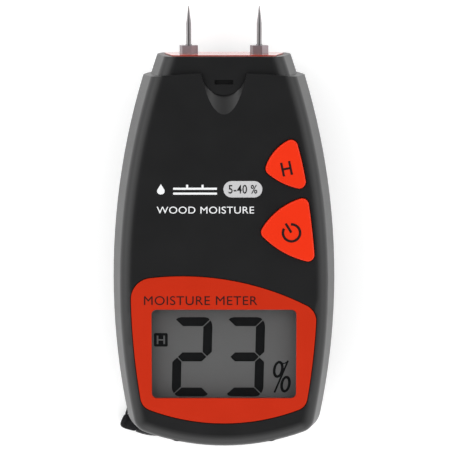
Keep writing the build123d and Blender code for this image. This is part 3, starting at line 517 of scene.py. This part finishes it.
class METER_OT_display(MeterPiece, bpy.types.Operator):
    """Display stack and the segments of its reading"""

    bl_idname = "meter.display"
    bl_label = "Display"

    DIGIT_CORNERS = ((-15.25, -47.85), (0.0, -47.85))
    PERCENT_CORNER = (13.1, -46.95)
    BADGE = (-18.3, -31.05)
    BADGE_HALF = 2.0
    LIT = {
        "0": "abcdef", "1": "bc", "2": "abged", "3": "abgcd", "4": "fgbc",
        "5": "afgcd", "6": "afgcde", "7": "abc", "8": "abcdefg", "9": "abcdfg",
    }

    def segments(self, look):
        """Outlines of the seven segments of a digit, from its lower left corner."""
        wide, high, bar = look.digit_width / MM, look.digit_height / MM, look.stroke / MM
        half = high / 2
        top = [
            (0.8, high - 0.74), (1.3, high - 0.25), (2.3, high), (wide - 2.3, high),
            (wide - 1.3, high - 0.25), (wide - 0.85, high - 0.72), (wide - bar - 0.1, high - bar),
            (bar + 0.2, high - bar),
        ]
        upper = [
            (wide - 0.62, high - 0.95), (wide - 0.2, high - 1.7), (wide, high - 2.7), (wide, half + 1.5),
            (wide - 1.35, half + 0.2), (wide - bar, half + 1.45), (wide - bar, high - bar - 0.25),
        ]
        middle = [
            (1.55, half), (1.55 + bar / 2, half + bar / 2), (wide - 1.55 - bar / 2, half + bar / 2),
            (wide - 1.55, half), (wide - 1.55 - bar / 2, half - bar / 2), (1.55 + bar / 2, half - bar / 2),
        ]

        def flip_x(outline):
            return [(wide - x, y) for x, y in outline]

        def flip_y(outline):
            return [(x, high - y) for x, y in outline]

        return {
            "a": top, "b": upper, "c": flip_y(upper), "d": flip_y(top),
            "e": flip_x(flip_y(upper)), "f": flip_x(upper), "g": middle,
        }

    def execute(self, context):
        look = context.scene.meter_display
        low, high = DISPLAY
        field = Finish("display_field")
        across, up, _ = field.axes(field.place())
        # Painted shade: the field is drawn lighter in the middle and darker towards the window's edges,
        # where the recess walls shade it.
        spread = (across / (high.x * 1.15)) * (across / (high.x * 1.15))
        rise = (up - (low.y + high.y) / 2) / ((high.y - low.y) * 0.62)
        painted_window_edge_shade = spread + rise * rise
        grain = field.noise(0.35 * MM, 1.0)
        colours = field.mix(painted_window_edge_shade, shade(tuple(look.field), 1.02), shade(tuple(look.field), 0.94))
        polariser = field.surface(Base_Color=colours, Roughness=0.50 + grain * 0.08, Specular_IOR_Level=0.2)
        dress(polariser, "display_polariser")
        dress(clear("window_acrylic", (0.03, 0.033, 0.036), 0.07, 0.06), "display_lens")
        glass = clear("cell_glass", (0.75, 0.80, 0.78), 0.45, 0.05)
        dress(glass, "display_front_glass", "display_rear_glass")
        dress(plated("reflector_foil", (0.62, 0.63, 0.60), 0.35), "display_reflector")
        dress(moulded("display_frame_plastic", (0.010, 0.010, 0.011), 0.5), "display_frame")
        dress(moulded("contact_rubber", (0.12, 0.12, 0.13), 0.7), "contact_strip")

        dark = ink("segment_dye", tuple(look.segment), 0.55, 0.05)
        segments = self.segments(look)
        for place, (digit, corner) in enumerate(zip(look.reading, self.DIGIT_CORNERS)):
            outlines = moved([segments[key] for key in self.LIT[digit]], corner, lean=look.slant)
            plates(f"display_digit_{place + 1}", outlines, GLASS_TOP_Z, INK, dark, METER)

        loops = [
            ring_outline((1.75, 7.15), (1.15, 2.15), 0.0, math.tau, 0.80),
            ring_outline((4.45, 2.75), (1.10, 2.10), 0.0, math.tau, 0.80),
            bar_outline((1.55, 0.25), (4.25, 9.75), 0.55),
            ring_outline((2.9, 10.9), (1.75, 2.0), math.radians(232), math.radians(318), 0.34, 10),
        ]
        percent = moved(loops, self.PERCENT_CORNER, lean=0.13)
        plates("display_percent", percent, GLASS_TOP_Z, INK, dark, METER)

        side = self.BADGE_HALF
        badge = [(-side, -side + 0.3), (-side + 0.3, -side), (side - 0.3, -side), (side, -side + 0.3),
                 (side, side - 0.3), (side - 0.3, side), (-side + 0.3, side), (-side, side - 0.3)]
        plates("display_hold_badge", moved([badge], self.BADGE), GLASS_TOP_Z, INK, dark, METER)
        lettering(
            "display_hold_mark", "H", self.BADGE, (2.4, 2.5), GLASS_TOP_Z + INK,
            polariser, METER, "polariser", bold=0.01,
        )
        return {"FINISHED"}


class METER_OT_printing(MeterPiece, bpy.types.Operator):
    """Plain printing on the casing, the panel and the buttons"""

    bl_idname = "meter.printing"
    bl_label = "Printing"

    # Centre and size of each line of printing, in millimetres
    TITLE = ((-6.7, -18.95), (32.6, 2.6))
    RANGE_TEXT = ((-5.3, 7.35), (27.8, 2.0))
    FIGURES = ((5.4, 13.35), (8.2, 2.5))
    CAPSULE_HALF = (3.2, 2.35)
    WOOD_MARK = (-19.7, 11.75)
    HOLD_MARK = ((17.8, 19.35), math.radians(12))
    POWER_MARK = ((19.3, 0.9), math.radians(32))
    POWER_RING = (2.45, 2.45)

    def execute(self, context):
        look = context.scene.meter_printing
        light = ink("light_ink", tuple(look.light))
        grey = ink("grey_ink", tuple(look.grey))
        dark = ink("dark_ink", tuple(look.dark))
        lettering("panel_title", "MOISTURE METER", *self.TITLE, FACE_Z, dark, METER, "panel")

        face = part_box("front_shell")[1].z
        lettering("range_text", "WOOD MOISTURE", *self.RANGE_TEXT, face, light, METER, "casing")

        boards = [bar_outline((5.2, 0.35), (17.7, 0.35), 0.6), bar_outline((5.2, 1.75), (17.7, 1.75), 0.6),
                  bar_outline((9.2, 2.9), (9.2, 2.05), 0.6), bar_outline((13.6, 2.9), (13.6, 2.05), 0.6)]
        drop = [(1.7, 3.1), (1.05, 2.05), (0.62, 1.3), (0.66, 0.72), (1.05, 0.26), (1.7, 0.08),
                (2.35, 0.26), (2.74, 0.72), (2.78, 1.3), (2.35, 2.05)]
        plates("wood_mark", moved(boards + [drop], self.WOOD_MARK), face, INK, light, METER)

        reach, bow = self.CAPSULE_HALF
        capsule = []
        for centre, start in ((reach, -math.pi / 2), (-reach, math.pi / 2)):
            for index in range(17):
                turn = start + math.pi * index / 16
                capsule.append((centre + bow * math.cos(turn), bow * math.sin(turn)))
        plates("range_capsule", moved([capsule], self.FIGURES[0]), face, INK, grey, METER)
        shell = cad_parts["front_shell"].data.materials[0]
        lettering("range_figures", "5-40 %", *self.FIGURES, face + INK, shell, METER, "casing", bold=0.01)

        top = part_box("hold_button")[1].z
        strokes = [bar_outline((side, -2.0), (side, 2.0), 0.64) for side in (-1.15, 1.15)]
        strokes.append(bar_outline((-0.83, 0.0), (0.83, 0.0), 0.6))
        plates("hold_mark", moved(strokes, *self.HOLD_MARK), top, INK, dark, "hold_button")

        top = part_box("power_button")[1].z
        strokes = [ring_outline((0.0, 0.0), self.POWER_RING, math.radians(118), math.radians(422), 0.72),
                   bar_outline((0.0, 0.1), (0.0, 3.2), 0.66)]
        plates("power_mark", moved(strokes, *self.POWER_MARK), top, INK, dark, "power_button")
        return {"FINISHED"}


class METER_OT_electrodes(MeterPiece, bpy.types.Operator):
    """Needles, collars and what holds them"""

    bl_idname = "meter.electrodes"
    bl_label = "Electrodes"

    def execute(self, context):
        along = (1.0, 0.06, 1.0)
        dress(plated("needle_steel", (0.22, 0.21, 0.215), 0.22, along), "left_needle", "right_needle")
        nickel = plated("collar_nickel", (0.30, 0.25, 0.265), 0.26, (1.0, 1.0, 0.1))
        dress(nickel, "left_collar", "right_collar")
        brass = plated("socket_brass", (0.72, 0.52, 0.20), 0.28, (1.0, 0.1, 1.0))
        dress(brass, "electrode_sockets", "terminal_nuts")
        dress(plated("tag_tin", (0.66, 0.66, 0.65), 0.35), "solder_tags")
        return {"FINISHED"}


class METER_OT_electronics(MeterPiece, bpy.types.Operator):
    """Board, its parts, the battery, its leads and the screws"""

    bl_idname = "meter.electronics"
    bl_label = "Electronics and battery"

    PLASTICS = {
        "chip_body": (
            (0.018, 0.018, 0.019), 0.50, ("measuring_chip", "display_driver", "voltage_regulator"),
        ),
        "switch_case": ((0.020, 0.020, 0.022), 0.45, ("hold_switch_body", "power_switch_body")),
        "plunger_nylon": ((0.60, 0.59, 0.54), 0.40, ("hold_switch_plunger", "power_switch_plunger")),
        "trimmer_case": ((0.02, 0.09, 0.42), 0.35, ("calibration_trimmer",)),
        "capacitor_ceramic": ((0.34, 0.24, 0.15), 0.55, ("chip_capacitors",)),
        "resistor_ceramic": ((0.025, 0.025, 0.027), 0.45, ("chip_resistors",)),
        "battery_paint": ((0.030, 0.030, 0.034), 0.30, ("battery_jacket",)),
        "snap_plastic": ((0.018, 0.018, 0.018), 0.50, ("snap_connector",)),
        "red_insulation": ((0.55, 0.018, 0.014), 0.35, ("battery_lead_red", "electrode_lead_left")),
        "black_insulation": ((0.016, 0.016, 0.016), 0.35, ("battery_lead_black", "electrode_lead_right")),
    }
    METALS = {
        "zinc_screw": ((0.60, 0.61, 0.62), 0.30, ("board_screws", "case_screws")),
        "aluminium_can": ((0.76, 0.76, 0.77), 0.24, ("electrolytic_capacitor", "crystal")),
        "cell_case": ((0.55, 0.55, 0.56), 0.34, ("battery_cells",)),
        "terminal_nickel": ((0.68, 0.68, 0.69), 0.22, ("battery_terminals",)),
    }

    def execute(self, context):
        for name, (colour, roughness, nodes) in self.PLASTICS.items():
            dress(moulded(name, colour, roughness), *nodes)
        for name, (colour, roughness, nodes) in self.METALS.items():
            dress(plated(name, colour, roughness), *nodes)
        dress(board_mask("solder_mask", (0.014, 0.13, 0.045), (0.30, 0.42, 0.12)), "circuit_board")
        return {"FINISHED"}


class METER_OT_strap(MeterPiece, bpy.types.Operator):
    """Wrist cord, its sleeve and the string round the casing's post"""

    bl_idname = "meter.strap"
    bl_label = "Strap"

    STRING = (
        (-29.75, -59.18, 1.4), (-29.03, -57.42, 1.4), (-29.3, -54.4, 2.6), (-29.2, -49.45, 4.8),
        (-22.95, -49.45, 4.8), (-22.95, -52.55, 4.8), (-26.2, -52.55, 4.8), (-28.1, -54.2, 3.8),
        (-27.95, -56.1, 2.2), (-27.83, -57.91, 1.4), (-28.55, -59.67, 1.4),
    )
    CORD = (
        (-26.597, -63.872), (-24.19, -64.855), (-19.2, -65.29), (-9.5, -65.3), (3.5, -65.8), (15.5, -64.1),
        (25.0, -60.2), (28.8, -53.2), (30.2, -42.5), (31.4, -27.0), (31.4, -9.0), (29.9, 9.0), (27.3, 24.6),
        (24.9, 36.0), (20.7, 43.9), (14.9, 48.4), (8.5, 48.4), (4.3, 44.2), (4.3, 38.3), (8.5, 34.1),
        (15.0, 34.3), (19.6, 33.6), (22.9, 30.9), (24.7, 26.6), (25.7, 17.0), (27.9, 4.0), (29.2, -11.0),
        (29.2, -27.0), (28.0, -42.2), (26.6, -52.0), (23.3, -58.3), (14.9, -62.1), (3.2, -63.6),
        (-9.6, -63.1), (-19.2, -63.15), (-23.396, -62.911), (-25.803, -61.928),
    )
    CORD_Z = 1.05
    SLEEVE_ENDS = ((-31.1, -60.9), (-26.2, -62.9))
    SLEEVE_HALF = (2.1, 1.4)

    def sleeve(self, material):
        """A woven grip with rounded ends, whose mouths hold the cord and the string."""
        mesh = bmesh.new()
        first, last = (Vector((x * MM, y * MM, 0.0)) for x, y in self.SLEEVE_ENDS)
        run = last - first
        turn = math.atan2(run.y, run.x)
        stations = [
            (0.00, 0.50), (0.015, 0.66), (0.04, 0.80), (0.08, 0.92), (0.14, 1.0), (0.24, 1.05), (0.36, 1.06),
            (0.50, 1.03), (0.64, 0.99), (0.78, 0.95), (0.88, 0.90), (0.94, 0.83), (0.98, 0.74), (1.00, 0.60),
        ]
        section = bmesh.ops.create_circle(mesh, cap_ends=True, segments=32, radius=1.0)["verts"]
        for vert in section:
            side = math.copysign(abs(vert.co.x) ** 0.8, vert.co.x) * self.SLEEVE_HALF[0] * MM
            rise = math.copysign(abs(vert.co.y) ** 0.8, vert.co.y) * self.SLEEVE_HALF[1] * MM
            vert.co = Vector((0.0, side, rise))
        cap = mesh.faces[:]
        bmesh.ops.scale(mesh, vec=(1.0, stations[0][1], stations[0][1]), verts=section)
        face = cap[0]
        for before, after in zip(stations, stations[1:]):
            foot = before is stations[0]
            grown = bmesh.ops.extrude_face_region(mesh, geom=[face], use_keep_orig=foot)["geom"]
            ring = [part for part in grown if isinstance(part, bmesh.types.BMVert)]
            face = next(part for part in grown if isinstance(part, bmesh.types.BMFace))
            bmesh.ops.translate(mesh, verts=ring, vec=((after[0] - before[0]) * run.length, 0.0, 0.0))
            ratio = after[1] / before[1]
            bmesh.ops.scale(mesh, vec=(1.0, ratio, ratio), verts=ring)
        place = Matrix.Translation(first + Vector((0.0, 0.0, (self.SLEEVE_HALF[1] + 0.05) * MM)))
        mesh.transform(place @ Matrix.Rotation(turn, 4, "Z"))
        for part in mesh.faces:
            part.smooth = True
        return keep("strap_grip", mesh, material, METER)

    def execute(self, context):
        look = context.scene.meter_strap
        yarn = tuple(look.colour)
        grip = self.sleeve(woven("grip_weave", yarn, 0.45 * MM, 0.12 * MM))
        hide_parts("strap_sleeve")

        cord_points = [(x, y, self.CORD_Z) for x, y in self.CORD]
        braid = braided("strap_braid", yarn, 150.0, 4.0, 0.08 * MM)
        cord = run_curve("strap_loop", cord_points, look.cord_diameter, braid)
        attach(cord, METER)
        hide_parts("strap_cord")

        twist = braided("string_twist", yarn, 30.0, 1.0, 0.05 * MM)
        string = run_curve("strap_string_loop", self.STRING, look.string_diameter, twist, 4)
        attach(string, METER)
        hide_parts("strap_string")
        return {"FINISHED"}


class METER_OT_stage(MeterPiece, bpy.types.Operator):
    """Pale floor, soft lights and the camera"""

    bl_idname = "meter.stage"
    bl_label = "Stage"

    LIGHTS = (
        ("key_light", (-0.85, 0.10, 0.70), (1.1, 1.1), 4.6),
        ("fill_light", (0.85, 0.15, 0.70), (1.1, 1.1), 3.4),
        ("top_light", (0.0, 0.90, 0.65), (1.1, 1.0), 2.6),
        ("front_light", (0.0, -0.90, 0.65), (1.1, 1.0), 3.4),
    )
    FLOOR_HALF = 3.0
    CAMERA_DROP = 1.275 * MM
    CAMERA_SIDE = 0.3 * MM
    ROOM = ((0.0, 1.0), (0.40, 1.0), (0.68, 0.40), (0.90, 0.02))

    def execute(self, context):
        look = context.scene.meter_stage
        scene = context.scene
        mesh = bmesh.new()
        bmesh.ops.create_grid(mesh, x_segments=8, y_segments=8, size=self.FLOOR_HALF)
        paper = Finish("floor_paper")
        tooth = paper.noise(2.0 * MM, 3.0)
        colours = paper.mix(tooth, shade(tuple(look.floor), 0.985), tuple(look.floor))
        data = bpy.data.meshes.new("floor")
        mesh.to_mesh(data)
        mesh.free()
        glow = (*look.floor, 1.0)
        data.materials.append(
            paper.surface(
                Base_Color=colours, Roughness=0.9, Emission_Color=glow, Emission_Strength=look.glow
            )
        )
        floor = bpy.data.objects.new("floor", data)
        scene.collection.objects.link(floor)

        for name, place, size, power in self.LIGHTS:
            lamp = bpy.data.lights.new(name, "AREA")
            lamp.shape = "RECTANGLE"
            lamp.size, lamp.size_y = size
            lamp.energy = power
            light = bpy.data.objects.new(name, lamp)
            light.location = place
            light.rotation_euler = (-Vector(place)).to_track_quat("-Z", "Y").to_euler()
            scene.collection.objects.link(light)

        room = Finish("room", "worlds")
        _, _, height = room.axes(room.node("ShaderNodeTexCoord", output="Generated"))
        stops = [(place, shade(WHITE, level)) for place, level in self.ROOM]
        tone = room.node("ShaderNodeValToRGB", {"stops": stops}, {"Fac": height})
        sky = room.node("ShaderNodeBackground", None, {"Color": tone, "Strength": look.sky})
        room.node("ShaderNodeOutputWorld", None, {"Surface": sky})
        scene.world = room.made

        lens = bpy.data.cameras.new("camera")
        lens.lens = look.lens
        lens.clip_start = 0.01
        camera = bpy.data.objects.new("camera", lens)
        back = Vector((0.0, math.sin(look.tilt), math.cos(look.tilt)))
        up = Vector((0.0, math.cos(look.tilt), -math.sin(look.tilt)))
        aside = Vector((self.CAMERA_SIDE, 0.0, 0.0))
        camera.location = back * look.distance - up * self.CAMERA_DROP + aside
        camera.rotation_euler = (-look.tilt, 0.0, 0.0)
        scene.collection.objects.link(camera)
        scene.camera = camera
        scene.view_settings.view_transform = "Standard"
        return {"FINISHED"}


class METER_PT_panel(bpy.types.Panel):
    """Lists the meter's pieces and their settings"""

    bl_label = "Moisture meter"
    bl_idname = "METER_PT_panel"
    bl_space_type = "VIEW_3D"
    bl_region_type = "UI"
    bl_category = "Meter"

    def draw(self, context):
        for name, group, operator in PARTS:
            box = self.layout.box()
            box.operator(operator)
            if group:
                settings = getattr(context.scene, group)
                for key in settings.bl_rna.properties.keys():
                    if key not in ("rna_type", "name"):
                        box.prop(settings, key)


GROUPS = {
    "meter_casing": MeterCasing,
    "meter_printing": MeterPrinting,
    "meter_display": MeterDisplay,
    "meter_strap": MeterStrap,
    "meter_stage": MeterStage,
}
PARTS = (
    ("Stage", "meter_stage", "meter.stage"),
    ("Strap", "meter_strap", "meter.strap"),
    ("Casing", "meter_casing", "meter.casing"),
    ("Display", "meter_display", "meter.display"),
    ("Printing", "meter_printing", "meter.printing"),
    ("Electrodes", None, "meter.electrodes"),
    ("Electronics", None, "meter.electronics"),
)
CLASSES = (
    *GROUPS.values(), METER_OT_casing, METER_OT_display, METER_OT_printing, METER_OT_electrodes,
    METER_OT_electronics, METER_OT_strap, METER_OT_stage, METER_PT_panel,
)


def register():
    for item in CLASSES:
        bpy.utils.register_class(item)
    for name, group in GROUPS.items():
        setattr(bpy.types.Scene, name, PointerProperty(type=group))


def unregister():
    for name in GROUPS:
        delattr(bpy.types.Scene, name)
    for item in reversed(CLASSES):
        bpy.utils.unregister_class(item)


def main():
    register()
    for _, _, operator in PARTS:
        group, name = operator.split(".")
        getattr(getattr(bpy.ops, group), name)()


if __name__ == "__main__":
    main()
